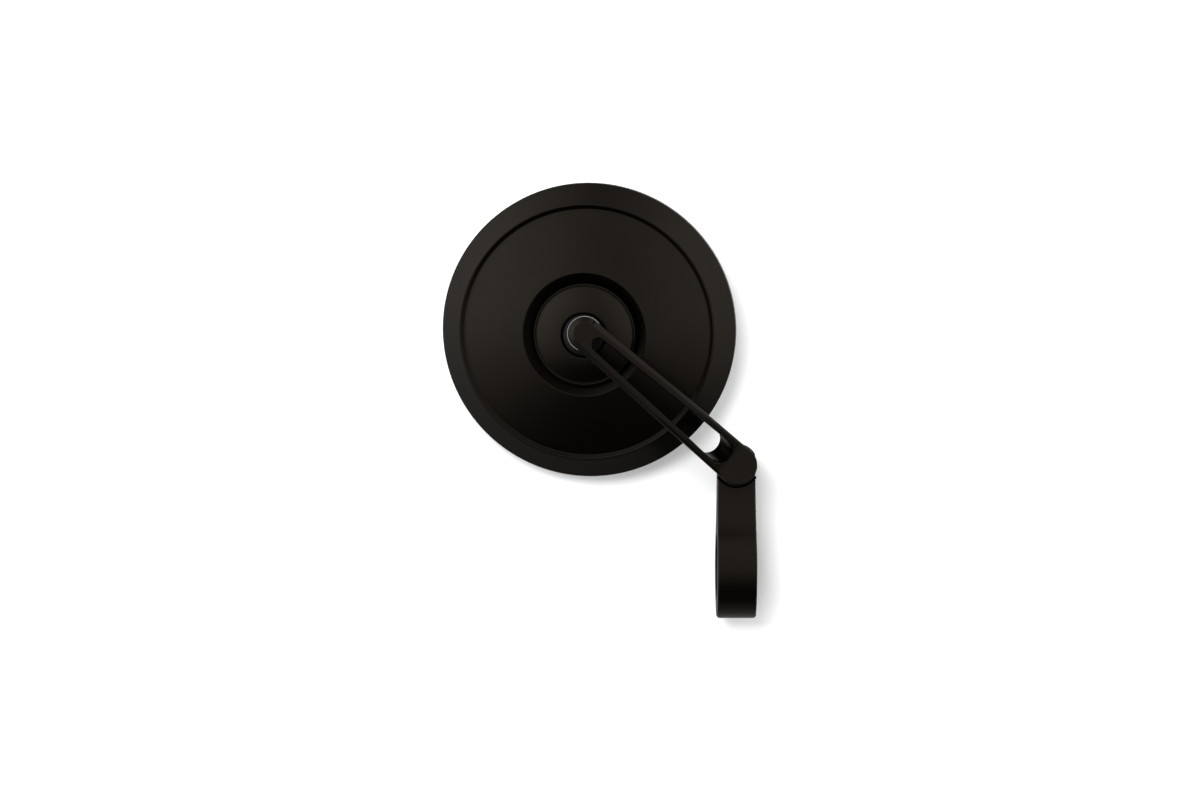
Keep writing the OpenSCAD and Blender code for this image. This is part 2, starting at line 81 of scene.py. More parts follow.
class Slot(Enum):
    """The record's material slots that new pieces take."""

    ANODISED = "black_anodised"
    MIRROR = "mirror"
    NYLON = "black_nylon"


def mm(value: float) -> float:
    """Turns millimetres into metres."""
    return value * 0.001


def srgb(code: str) -> tuple[float, float, float, float]:
    """Turns an sRGB hex colour into the linear colour that shaders take.

    Args:
        code: The colour as "#rrggbb".

    Returns:
        Linear red, green, blue and an alpha of 1.
    """
    parts = [int(code[i:i + 2], 16) / 255 for i in (1, 3, 5)]
    linear = [c / 12.92 if c <= 0.04045 else ((c + 0.055) / 1.055) ** 2.4 for c in parts]
    return (linear[0], linear[1], linear[2], 1.0)


def add_node(tree: bpy.types.NodeTree, kind: str, settings: Optional[dict[str, Any]] = None,
             links: Optional[dict[Any, bpy.types.NodeSocket]] = None) -> bpy.types.Node:
    """Adds one node with its settings and links.

    Args:
        tree: The node tree that takes the node.
        kind: The node's type name.
        settings: Attributes by name, and socket values by "in:NAME" or "in:NUMBER".
        links: The sockets that feed the node's inputs, by input name or number.

    Returns:
        The new node.
    """
    node = tree.nodes.new(kind)
    for key, value in (settings or {}).items():
        if key.startswith("in:"):
            name = key[3:]
            node.inputs[int(name) if name.isdigit() else name].default_value = value
        else:
            setattr(node, key, value)
    for key, socket in (links or {}).items():
        tree.links.new(socket, node.inputs[key])
    return node


def empty_material(name: str) -> tuple[bpy.types.Material, bpy.types.NodeTree]:
    """Makes a material with an empty node tree.

    Args:
        name: The material's name.

    Returns:
        The material and its tree.
    """
    material = bpy.data.materials.new(name)
    material.use_nodes = True
    material.node_tree.nodes.clear()
    return material, material.node_tree


@dataclass(frozen=True)
class GrainedFinish:
    """A surface with fine grain, in which colour, roughness and relief vary together.

    Attributes:
        name: What the material is called.
        dark: Colour in the grain's hollows.
        light: Colour on the grain's tops.
        metallic: 1 for metal, 0 for plastic and rubber.
        roughness_low: Roughness on the tops.
        roughness_high: Roughness in the hollows.
        grain_mm: Width of one grain.
        cloud_mm: Width of the slow changes that handling leaves.
        relief_mm: Depth of the grain.
        ior: Index of refraction, left out for metal.
        gloss: Specular level, 0.5 for a clean surface and less for a dull, dusty one.
        grain_share: The grain's part in the pattern; the slow changes have the rest.
        relief_strength: Share of the grain's depth that the light sees.
    """

    name: str
    dark: str
    light: str
    metallic: float
    roughness_low: float
    roughness_high: float
    grain_mm: float
    cloud_mm: float
    relief_mm: float
    ior: Optional[float] = None
    gloss: float = 0.5
    grain_share: float = 0.45
    relief_strength: float = 0.35

    def build(self) -> bpy.types.Material:
        """Builds the material.

        Returns:
            The finished material.
        """
        material, tree = empty_material(self.name)
        place = add_node(tree, "ShaderNodeTexCoord")
        at = place.outputs["Object"]
        grain = add_node(tree, "ShaderNodeTexNoise", {
            "in:Scale": 1.0 / mm(self.grain_mm), "in:Detail": 2.0, "in:Roughness": 0.6,
        }, {"Vector": at})
        cloud = add_node(tree, "ShaderNodeTexNoise", {
            "in:Scale": 1.0 / mm(self.cloud_mm), "in:Detail": 3.0, "in:Roughness": 0.5,
        }, {"Vector": at})
        slow = add_node(tree, "ShaderNodeMath", {
            "operation": "MULTIPLY", "in:1": 1 - self.grain_share,
        }, {0: cloud.outputs["Fac"]})
        both = add_node(tree, "ShaderNodeMath", {
            "operation": "MULTIPLY_ADD", "in:1": self.grain_share,
        }, {0: grain.outputs["Fac"], 2: slow.outputs[0]})
        tint = add_node(tree, "ShaderNodeMix", {"data_type": "RGBA"}, {0: both.outputs[0]})
        tint.inputs[MIX_A].default_value = srgb(self.dark)
        tint.inputs[MIX_B].default_value = srgb(self.light)
        # Noise seldom leaves the middle half of its range.
        rough = add_node(tree, "ShaderNodeMapRange", {
            "in:From Min": 0.25, "in:From Max": 0.75,
            "in:To Min": self.roughness_high, "in:To Max": self.roughness_low,
        }, {"Value": both.outputs[0]})
        relief = add_node(tree, "ShaderNodeBump", {
            "in:Strength": self.relief_strength, "in:Distance": mm(self.relief_mm),
        }, {"Height": grain.outputs["Fac"]})
        shader = add_node(tree, "ShaderNodeBsdfPrincipled", {
            "in:Metallic": self.metallic, "in:Specular IOR Level": self.gloss,
        }, {"Base Color": tint.outputs[MIX_RESULT], "Roughness": rough.outputs[0],
            "Normal": relief.outputs[0]})
        if self.ior is not None:
            shader.inputs["IOR"].default_value = self.ior
        add_node(tree, "ShaderNodeOutputMaterial", links={"Surface": shader.outputs[0]})
        return material


@dataclass(frozen=True)
class TurnedFinish:
    """Bare metal with the fine rings that a lathe leaves, drawn round an axis.

    Attributes:
        name: What the material is called.
        dark: Colour in the tool marks.
        light: Colour between the tool marks.
        roughness_low: Roughness between the marks.
        roughness_high: Roughness in the marks.
        pitch_mm: Distance from one tool mark to the next.
        centre: A point on the lathe's axis, in millimetres.
        axis: Direction of the lathe's axis.
        painted_shade_r: Radius up to which the metal is painted black as shade, in
            millimetres. Only the rim outside it keeps the bright metal.
        unshaded_side: Direction in which the bright part of the rim lies.
        black: Colour of the painted shade.
        unshaded_from_mm: Where the bright metal starts along that direction, from the
            centre; the rim's far side is painted black as shade too.
        blend_mm: Width over which the painted shade and the bright metal meet.
        relief_mm: Depth of the tool marks.
        relief_strength: Share of that depth that the light sees.
    """

    name: str
    dark: str
    light: str
    roughness_low: float
    roughness_high: float
    pitch_mm: float
    centre: tuple[float, float, float]
    axis: tuple[float, float, float]
    painted_shade_r: float = 0.0
    unshaded_side: tuple[float, float, float] = (0.0, 0.0, 1.0)
    black: str = "#141415"
    unshaded_from_mm: float = -3.6
    blend_mm: float = 0.1
    relief_mm: float = 0.02
    relief_strength: float = 0.2

    def build(self) -> bpy.types.Material:
        """Builds the material.

        Returns:
            The finished material.
        """
        material, tree = empty_material(self.name)
        place = add_node(tree, "ShaderNodeTexCoord")
        turn = Vector(self.axis).rotation_difference(Vector((0, 0, 1))).to_euler()
        shift = turn.to_matrix() @ Vector([mm(c) for c in self.centre])
        at = add_node(tree, "ShaderNodeMapping", {
            "vector_type": "POINT", "in:Location": -shift, "in:Rotation": turn,
        }, {"Vector": place.outputs["Object"]})
        rings = add_node(tree, "ShaderNodeTexWave", {
            "wave_type": "RINGS", "rings_direction": "Z", "in:Distortion": 1.5, "in:Detail": 2.0,
            "in:Detail Scale": 0.4,
            "in:Scale": 2 * math.pi / WAVE_RADIANS / mm(self.pitch_mm),
        }, {"Vector": at.outputs[0]})
        tint = add_node(tree, "ShaderNodeMix", {"data_type": "RGBA"}, {0: rings.outputs["Fac"]})
        tint.inputs[MIX_A].default_value = srgb(self.dark)
        tint.inputs[MIX_B].default_value = srgb(self.light)
        colour = tint.outputs[MIX_RESULT]
        # Painted shade: inside the given radius, and on the rim's far side, black replaces the
        # bright metal where shade falls.
        if self.painted_shade_r > 0:
            flat = add_node(tree, "ShaderNodeVectorMath", {
                "operation": "MULTIPLY", "in:1": (1, 1, 0),
            }, {0: at.outputs[0]})
            reach = add_node(tree, "ShaderNodeVectorMath", {"operation": "LENGTH"},
                             {0: flat.outputs[0]})
            rim = add_node(tree, "ShaderNodeMapRange", {
                "in:From Min": mm(self.painted_shade_r),
                "in:From Max": mm(self.painted_shade_r + self.blend_mm),
            }, {"Value": reach.outputs["Value"]})
            offset = add_node(tree, "ShaderNodeVectorMath", {
                "operation": "SUBTRACT", "in:1": [mm(c) for c in self.centre],
            }, {0: place.outputs["Object"]})
            along = add_node(tree, "ShaderNodeVectorMath", {
                "operation": "DOT_PRODUCT", "in:1": self.unshaded_side,
            }, {0: offset.outputs[0]})
            clear = add_node(tree, "ShaderNodeMapRange", {
                "in:From Min": mm(self.unshaded_from_mm - self.blend_mm),
                "in:From Max": mm(self.unshaded_from_mm + self.blend_mm),
            }, {"Value": along.outputs["Value"]})
            unshaded_mask = add_node(tree, "ShaderNodeMath", {"operation": "MULTIPLY"},
                            {0: rim.outputs[0], 1: clear.outputs[0]})
            painted_shade_mix = add_node(tree, "ShaderNodeMix", {"data_type": "RGBA"},
                             {0: unshaded_mask.outputs[0], MIX_B: colour})
            painted_shade_mix.inputs[MIX_A].default_value = srgb(self.black)
            colour = painted_shade_mix.outputs[MIX_RESULT]
        rough = add_node(tree, "ShaderNodeMapRange", {
            "in:To Min": self.roughness_high, "in:To Max": self.roughness_low,
        }, {"Value": rings.outputs["Fac"]})
        relief = add_node(tree, "ShaderNodeBump", {
            "in:Strength": self.relief_strength, "in:Distance": mm(self.relief_mm),
        }, {"Height": rings.outputs["Fac"]})
        shader = add_node(tree, "ShaderNodeBsdfPrincipled", {"in:Metallic": 1.0},
                          {"Base Color": colour, "Roughness": rough.outputs[0],
                           "Normal": relief.outputs[0]})
        add_node(tree, "ShaderNodeOutputMaterial", links={"Surface": shader.outputs[0]})
        return material


@dataclass(frozen=True)
class SilveredFinish:
    """Silvered glass: a sharp reflection with a trace of dust and wiping marks.

    Attributes:
        name: What the material is called.
        silver: Colour of the silvering through the glass.
        wipe_mm: Width of the wiping marks.
    """

    name: str
    silver: str
    wipe_mm: float

    def build(self) -> bpy.types.Material:
        """Builds the material.

        Returns:
            The finished material.
        """
        material, tree = empty_material(self.name)
        place = add_node(tree, "ShaderNodeTexCoord")
        wipes = add_node(tree, "ShaderNodeTexNoise", {
            "in:Scale": 1.0 / mm(self.wipe_mm), "in:Detail": 4.0, "in:Distortion": 0.8,
        }, {"Vector": place.outputs["Object"]})
        rough = add_node(tree, "ShaderNodeMapRange", {
            "in:From Min": 0.45, "in:From Max": 0.8, "in:To Min": 0.015, "in:To Max": 0.05,
        }, {"Value": wipes.outputs["Fac"]})
        shader = add_node(tree, "ShaderNodeBsdfPrincipled", {
            "in:Base Color": srgb(self.silver), "in:Metallic": 1.0,
            "in:Coat Weight": 0.6, "in:Coat Roughness": 0.02,
        }, {"Roughness": rough.outputs[0]})
        add_node(tree, "ShaderNodeOutputMaterial", links={"Surface": shader.outputs[0]})
        return material


class Finishes:
    """All finishes of the mirror, each built once."""

    def __init__(self) -> None:
        """Builds the materials."""
        # Black anodised aluminium, bead blasted before dyeing: a warm black metal whose
        # soft sheen follows the light and hardly shows its grain. The grain is drawn
        # three times as coarse as the real 0.1 mm, so that it shows at all.
        self.anodised = GrainedFinish(
            "black_anodised_aluminium", dark="#1f1c18", light="#25221e", metallic=1.0,
            roughness_low=0.3, roughness_high=0.36, grain_mm=0.3, cloud_mm=14.0,
            relief_mm=0.015).build()
        # Black oxide steel: a cooler and slightly oily black.
        self.black_oxide = GrainedFinish(
            "black_oxide_steel", dark="#141414", light="#1e1e1e", metallic=1.0,
            roughness_low=0.28, roughness_high=0.42, grain_mm=0.25, cloud_mm=5.0,
            relief_mm=0.01).build()
        # Glass-filled nylon as it leaves the mould: dull, with a leathery trace.
        self.nylon = GrainedFinish(
            "moulded_black_nylon", dark="#0e0e0e", light="#151515", metallic=0.0,
            roughness_low=0.5, roughness_high=0.62, grain_mm=0.4, cloud_mm=6.0,
            relief_mm=0.02, ior=1.53, gloss=0.12).build()
        # Vulcanised rubber: darker than the metal and without gloss.
        self.rubber = GrainedFinish(
            "vulcanised_rubber", dark="#101011", light="#19191a", metallic=0.0,
            roughness_low=0.68, roughness_high=0.8, grain_mm=0.5, cloud_mm=8.0,
            relief_mm=0.03, ior=1.52, gloss=0.2).build()
        # Silvered glass, cleaned by hand: a sharp, slightly cool reflection.
        self.glass = SilveredFinish("silvered_convex_glass", silver="#dfe3e4",
                                    wipe_mm=18.0).build()

    @staticmethod
    def turned(name: str, centre: Sequence[float], axis: Sequence[float],
               painted_shade_r: float = 0.0,
               unshaded_side: Sequence[float] = (0.0, 0.0, 1.0)) -> bpy.types.Material:
        """Makes turned stainless steel whose rings run round one piece's own axis.

        Args:
            name: The material's name.
            centre: A point on the axis, in millimetres.
            axis: The axis's direction.
            painted_shade_r: Radius inside which the colour is painted shade, in millimetres.
            unshaded_side: Direction in which the bright rim lies; the far side is painted shade.

        Returns:
            The finished material.
        """
        # Turned stainless steel: fine rings, drawn at twice the lathe's 0.2 mm feed.
        return TurnedFinish(
            name, dark="#a9a8a5", light="#c9c8c4", roughness_low=0.2, roughness_high=0.32,
            pitch_mm=0.4, centre=tuple(centre), axis=tuple(axis), painted_shade_r=painted_shade_r,
            unshaded_side=tuple(unshaded_side)).build()


def deselect() -> None:
    """Leaves edit mode and deselects all objects."""
    if bpy.context.object and bpy.context.object.mode != "OBJECT":
        bpy.ops.object.mode_set(mode="OBJECT")
    bpy.ops.object.select_all(action="DESELECT")


def make_active(piece: bpy.types.Object) -> None:
    """Selects one piece alone and makes it active.

    Args:
        piece: The piece.
    """
    deselect()
    piece.select_set(True)
    bpy.context.view_layer.objects.active = piece


def soften(piece: bpy.types.Object, width_mm: float, segments: int, angle_deg: float,
           smooth_deg: float = 30.0) -> None:
    """Shades a piece smooth and rounds its sharp edges, with flat faces kept flat.

    Args:
        piece: The piece.
        width_mm: Width of the rounding; 0 leaves the edges sharp.
        segments: Facets across the rounding.
        angle_deg: Edges sharper than this are rounded.
        smooth_deg: Edges sharper than this stay sharp in the shading.
    """
    make_active(piece)
    bpy.ops.object.shade_smooth_by_angle(angle=math.radians(smooth_deg))
    if width_mm > 0:
        bevel = piece.modifiers.new("edge_rounding", "BEVEL")
        bevel.width = mm(width_mm)
        bevel.segments = segments
        bevel.limit_method = "ANGLE"
        bevel.angle_limit = math.radians(angle_deg)
        bevel.harden_normals = True
        bevel.use_clamp_overlap = False
        bpy.ops.object.modifier_apply(modifier=bevel.name)


def turn_on_lathe(name: str, profile: Sequence[Point], segments: int,
                  closed: bool) -> bpy.types.Object:
    """Turns a piece about Z: a ring is extruded from one profile point to the next.

    Args:
        name: The piece's name.
        profile: Radius and height of each point, in millimetres.
        segments: Facets round the piece.
        closed: True joins the last ring to the first; False closes both ends on the axis.

    Returns:
        The turned piece, at the origin.
    """
    deselect()
    bpy.ops.mesh.primitive_circle_add(vertices=segments, radius=mm(profile[0][0]),
                                      location=(0, 0, 0), fill_type="NOTHING")
    piece = bpy.context.active_object
    piece.name = name
    bpy.ops.object.mode_set(mode="EDIT")
    bpy.ops.mesh.select_all(action="SELECT")
    bpy.ops.transform.translate(value=(0, 0, mm(profile[0][1])))
    for (r_from, z_from), (r_to, z_to) in zip(profile, profile[1:]):
        bpy.ops.mesh.extrude_region_move(
            TRANSFORM_OT_translate={"value": (0, 0, mm(z_to - z_from))})
        ratio = r_to / r_from
        bpy.ops.transform.resize(value=(ratio, ratio, 1), center_override=(0, 0, 0))
    if closed:
        bpy.ops.mesh.select_all(action="DESELECT")
        bpy.ops.mesh.select_non_manifold(extend=False)
        bpy.ops.mesh.bridge_edge_loops()
    else:
        bpy.ops.mesh.merge(type="CENTER")
        bpy.ops.mesh.select_non_manifold(extend=False)
        bpy.ops.mesh.merge(type="CENTER")
    bpy.ops.mesh.select_all(action="SELECT")
    bpy.ops.mesh.remove_doubles(threshold=SAME_POINT)
    bpy.ops.mesh.normals_make_consistent(inside=False)
    bpy.ops.object.mode_set(mode="OBJECT")
    return piece


def extrude_outline(name: str, outline: Sequence[Point], depth: float) -> bpy.types.Object:
    """Extrudes a flat outline, as sawn from plate.

    The outline starts as a circle primitive with one corner for each point.

    Args:
        name: The piece's name.
        outline: The corners in the XY plane, in millimetres, counterclockwise.
        depth: Thickness in millimetres, half on each side of the plane.

    Returns:
        The piece, at the origin.
    """
    deselect()
    bpy.ops.mesh.primitive_circle_add(vertices=len(outline), radius=1, fill_type="NGON",
                                      location=(0, 0, 0))
    piece = bpy.context.active_object
    piece.name = name
    for vertex, (x, y) in zip(piece.data.vertices, outline):
        vertex.co = (mm(x), mm(y), -mm(depth) / 2)
    bpy.ops.object.mode_set(mode="EDIT")
    bpy.ops.mesh.select_all(action="SELECT")
    bpy.ops.mesh.extrude_region_move(TRANSFORM_OT_translate={"value": (0, 0, mm(depth))})
    bpy.ops.mesh.select_all(action="SELECT")
    bpy.ops.mesh.normals_make_consistent(inside=False)
    bpy.ops.object.mode_set(mode="OBJECT")
    return piece


def cylinder(radius: float, start: Sequence[float], end: Sequence[float],
             segments: int = 128) -> bpy.types.Object:
    """Adds a round cutter, which is used up by a boolean.

    Args:
        radius: Its radius, in millimetres.
        start: The middle of its first end, in millimetres.
        end: The middle of its last end, in millimetres.
        segments: Facets round it.

    Returns:
        The cutter.
    """
    way = Vector(end) - Vector(start)
    middle = (Vector(start) + Vector(end)) / 2
    deselect()
    bpy.ops.mesh.primitive_cylinder_add(vertices=segments, radius=mm(radius), depth=mm(way.length),
                                        location=[mm(c) for c in middle],
                                        rotation=way.to_track_quat("Z", "Y").to_euler())
    return bpy.context.active_object


def block(low: Sequence[float], high: Sequence[float]) -> bpy.types.Object:
    """Adds a square cutter, which is used up by a boolean.

    Args:
        low: Its lowest corner, in millimetres.
        high: Its highest corner, in millimetres.

    Returns:
        The cutter.
    """
    deselect()
    bpy.ops.mesh.primitive_cube_add(
        size=1, location=[mm(a + b) / 2 for a, b in zip(low, high)],
        scale=[mm(b - a) for a, b in zip(low, high)])
    return bpy.context.active_object


def cut(piece: bpy.types.Object, tool: bpy.types.Object, how: str = "DIFFERENCE") -> None:
    """Combines a piece with a tool by a boolean and throws the tool away.

    Args:
        piece: The piece.
        tool: What it is combined with.
        how: DIFFERENCE, INTERSECT or UNION.
    """
    make_active(piece)
    work = piece.modifiers.new("machining", "BOOLEAN")
    work.operation = how
    work.solver = "EXACT"
    work.object = tool
    bpy.ops.object.modifier_apply(modifier=work.name)
    mesh = tool.data
    bpy.data.objects.remove(tool)
    bpy.data.meshes.remove(mesh)


def settle(piece: bpy.types.Object, place: Matrix) -> None:
    """Moves a piece to its place and applies it, so the object stays at the origin.

    Args:
        piece: The piece, built at the origin.
        place: Its place in the row frame.
    """
    make_active(piece)
    piece.matrix_world = place
    bpy.ops.object.transform_apply(location=True, rotation=True, scale=True)


def arc(centre: Point, radius: float, start: float, end: float, steps: int) -> list[Point]:
    """Lists points along an arc.

    Args:
        centre: The arc's centre.
        radius: Its radius.
        start: Its first angle, in degrees.
        end: Its last angle, in degrees.
        steps: Number of chords.

    Returns:
        The points, both ends among them.
    """
    angles = [math.radians(start + (end - start) * i / steps) for i in range(steps + 1)]
    return [(centre[0] + radius * math.cos(a), centre[1] + radius * math.sin(a)) for a in angles]


def paint(piece: bpy.types.Object, material: bpy.types.Material) -> None:
    """Gives a piece one material in place of any that it has."""
    piece.data.materials.clear()
    piece.data.materials.append(material)


@dataclass
class BallJointFrame:
    """Where the ball joint stands and which way the head points.

    Attributes:
        ball: The ball's middle, in millimetres.
        arm_lean: The arm's lean from upright, in degrees.
        head_tilt: The head's turn about the arm's length, in degrees.
    """

    ball: tuple[float, float, float] = (-49.5062, -10.4, 75.882)
    arm_lean: float = 49.3
    head_tilt: float = 9.0

    def along_arm(self) -> Vector:
        """Gives the direction down the arm, from the hub to the pivot."""
        lean = math.radians(self.arm_lean)
        return Vector((math.sin(lean), 0, -math.cos(lean)))

    def head_place(self) -> Matrix:
        """Places the head: its Z is the head's axis, out of its back.

        Returns:
            The head's frame in the row frame.
        """
        tilt = Matrix.Rotation(math.radians(self.head_tilt), 4, self.along_arm())
        upright = Matrix.Rotation(math.radians(90), 4, "X")
        return Matrix.Translation([mm(c) for c in self.ball]) @ tilt @ upright

    def head_axis(self) -> Vector:
        """Gives the head's axis, out of its back."""
        return self.head_place().to_3x3() @ Vector((0, 0, 1))


@dataclass
class MirrorHead:
    """The turned housing, the joint's cover and the glass.

    Sizes are in millimetres and heights are from the ball's middle along the head's axis.
    Most are the solids' own; the step, the recess and the cover follow the photograph's
    shading a little further.
    """

    finishes: Finishes
    joint: BallJointFrame
    segments: int = 256
    edge_depth: float = 11.6
    edge_h: float = 4.3
    head_r: float = 48.35
    ridge_r: float = 41.7
    ridge_h: float = 6.5
    step_r: float = 40.35
    step_depth: float = 0.85
    collar_r: float = 20.1
    collar_h: float = 13.5
    cone_bulge: float = 0.5
    cone_steps: int = 16
    ridge_half: float = 0.2
    edge_chamfer: float = 0.4
    bezel_chamfer: float = 0.6
    edge_round: float = 0.22
    ledge_r: float = 16.95
    ledge_depth: float = 2.3
    recess_r: float = 16.75
    shell_wall: float = 2.2
    web_top: float = -3.0
    web_t: float = 2.5
    web_play: float = 0.1
    skirt_r: float = 10.41
    bezel_wall: float = 1.9
    glass_t: float = 2.5
    glass_inset: float = 0.5
    glass_seal_w: float = 0.6
    pad_t: float = 0.8
    pad_w: float = 5.0
    glass_curve: float = 1200.0
    glass_grind: float = 0.35
    glass_steps: int = 40
    cover_r: float = 16.55
    flange_w: float = 0.9
    flange_drop: float = 0.2
    flange_groove_w: float = 0.36
    flange_groove_depth: float = 0.45
    cover_top: float = 4.2
    dome_arch_r: float = 20.3
    dome_centre_r: float = 4.75
    dome_crest_r: float = 7.6
    mouth_r: float = 6.9
    socket_r: float = 7.71
    socket_low: float = 0.08
    bore_in_r: float = 8.91
    adjuster_bottom: float = -11.96
    cover_round: float = 0.12

    def cone_points(self) -> list[Point]:
        """Lists the main cone's line from the collar to the step.

        Returns:
            Radius and height of each point; a parabola stands proud by the bulge.
        """
        edge_z = -self.edge_depth
        top = Vector((self.collar_r, edge_z + self.collar_h))
        foot = Vector((self.step_r, edge_z + self.ridge_h - self.step_depth))
        line = foot - top
        out = Vector((-line.y, line.x)).normalized()
        points = []
        for i in range(self.cone_steps + 1):
            t = i / self.cone_steps
            p = top + line * t + out * self.cone_bulge * 4 * t * (1 - t)
            points.append((p.x, p.y))
        return points

    def housing(self) -> bpy.types.Object:
        """Turns the housing, whose finely rounded edges catch the light.

        Returns:
            The housing.
        """
        edge_z = -self.edge_depth
        rim_z = edge_z - self.edge_h
        ridge_z = edge_z + self.ridge_h
        step_z = ridge_z - self.step_depth
        collar_z = edge_z + self.collar_h
        ledge_z = collar_z - self.ledge_depth
        shelf_z = rim_z + self.glass_inset + self.glass_t + self.pad_t
        seat_r = self.head_r - self.bezel_wall
        pad_in = seat_r - self.pad_w
        well_r = self.recess_r + self.shell_wall
        web_in = self.skirt_r + self.web_play
        web_low = self.web_top - self.web_t
        # Along the axis the cone's slanted wall is a tenth deeper than it is thick.
        under = self.shell_wall * 1.1
        edge_cut, bezel_cut = self.edge_chamfer, self.bezel_chamfer
        profile = [(web_in, self.web_top), (self.recess_r, self.web_top),
                   (self.recess_r, ledge_z), (self.ledge_r, ledge_z)]
        profile += self.cone_points()
        profile += [(self.ridge_r - self.ridge_half, ridge_z),
                    (self.ridge_r + self.ridge_half, ridge_z),
                    (self.head_r - edge_cut, edge_z), (self.head_r, edge_z - edge_cut),
                    (self.head_r, rim_z + bezel_cut), (self.head_r - bezel_cut, rim_z),
                    (seat_r, rim_z), (seat_r, shelf_z), (pad_in, shelf_z),
                    (pad_in, step_z - under), (self.step_r, step_z - under),
                    (self.collar_r, collar_z - under),
                    (well_r, ledge_z - self.shell_wall), (well_r, web_low),
                    (web_in, web_low)]
        piece = turn_on_lathe("housing_shell", profile, self.segments, closed=True)
        soften(piece, self.edge_round, segments=3, angle_deg=18)
        settle(piece, self.joint.head_place())
        paint(piece, self.finishes.anodised)
        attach(piece, Body.HEAD.value)
        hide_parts("housing")
        return piece

    def cover(self) -> bpy.types.Object:
        """Turns the domed cover of the ball joint.

        Returns:
            The cover.
        """
        lip_r = self.dome_crest_r - self.mouth_r
        lip_z = math.sqrt(self.socket_r ** 2 - self.mouth_r ** 2)
        foot_r = self.cover_r - self.flange_w
        centre_r, arch_r = self.dome_centre_r, self.dome_arch_r
        crest = math.degrees(math.acos((self.dome_crest_r - centre_r) / arch_r))
        rim = math.degrees(math.acos((foot_r - centre_r) / arch_r))
        arch_z = self.cover_top - arch_r * math.sin(math.radians(crest))
        profile = [(self.mouth_r, lip_z)]
        profile += arc((self.dome_crest_r, self.cover_top - lip_r), lip_r, 180, 90, 8)
        profile += arc((centre_r, arch_z), arch_r, crest, rim, 20)[1:]
        # A fine groove parts the dome from a flat rim, which shows as a light ring all round.
        groove_z = profile[-1][1] - self.flange_groove_depth
        flange_z = profile[-1][1] - self.flange_drop
        groove_r = foot_r + self.flange_groove_w
        profile += [(foot_r, groove_z), (groove_r, groove_z), (groove_r, flange_z),
                    (self.cover_r, flange_z), (self.cover_r, self.web_top),
                    (self.skirt_r, self.web_top), (self.skirt_r, self.adjuster_bottom),
                    (self.bore_in_r, self.adjuster_bottom), (self.bore_in_r, self.socket_low),
                    (self.socket_r, self.socket_low)]
        # The ball's socket, from just above its widest ring to just under the lip.
        lip_angle = math.degrees(math.asin(lip_z / self.socket_r))
        profile += arc((0, 0), self.socket_r, 8, lip_angle - 3, 4)
        piece = turn_on_lathe("joint_cover_dome", profile, self.segments, closed=True)
        soften(piece, self.cover_round, segments=2, angle_deg=35)
        settle(piece, self.joint.head_place())
        paint(piece, self.finishes.anodised)
        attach(piece, Body.HEAD.value)
        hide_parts("joint_cover")
        return piece

    def glass(self) -> bpy.types.Object:
        """Turns the glass: bent to a wide sphere, with a ground edge.

        Returns:
            The glass.
        """
        front_z = -self.edge_depth - self.edge_h + self.glass_inset
        glass_r = self.head_r - self.bezel_wall - self.glass_seal_w
        steps, grind = self.glass_steps, self.glass_grind

        def bend(r: float) -> float:
            """Gives how far the glass stands proud of its edge at a radius."""
            return (glass_r ** 2 - r ** 2) / (2 * self.glass_curve)

        # The innermost ring is merged to a point on the axis.
        inner = 0.4
        radii = [inner + (glass_r - grind - inner) * i / steps for i in range(steps + 1)]
        profile = [(r, front_z - bend(r)) for r in radii]
        profile += [(glass_r, front_z + grind), (glass_r, front_z + self.glass_t)]
        profile += [(r, front_z + self.glass_t - bend(r))
                    for r in (glass_r * 0.75, glass_r * 0.4, inner)]
        piece = turn_on_lathe("mirror_glass_lens", profile, self.segments, closed=False)
        soften(piece, width_mm=0, segments=1, angle_deg=30, smooth_deg=25)
        settle(piece, self.joint.head_place())
        paint(piece, self.finishes.glass)
        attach(piece, Body.HEAD.value)
        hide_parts("mirror_glass")
        return piece

    def dress(self, nodes: dict[str, bpy.types.Object]) -> None:
        """Gives the head's other CAD nodes their finishes.

        Args:
            nodes: The CAD nodes by name.
        """
        axis = self.joint.head_axis()
        for name in ("socket_cup", "adjuster_ring"):
            steel = self.finishes.turned(f"turned_steel_{name}", self.joint.ball, axis)
            paint(nodes[name], steel)
        for name in ("disc_spring", "cover_screws"):
            paint(nodes[name], self.finishes.black_oxide)
        for name in ("cover_seal", "glass_pad", "glass_seal"):
            paint(nodes[name], self.finishes.rubber)


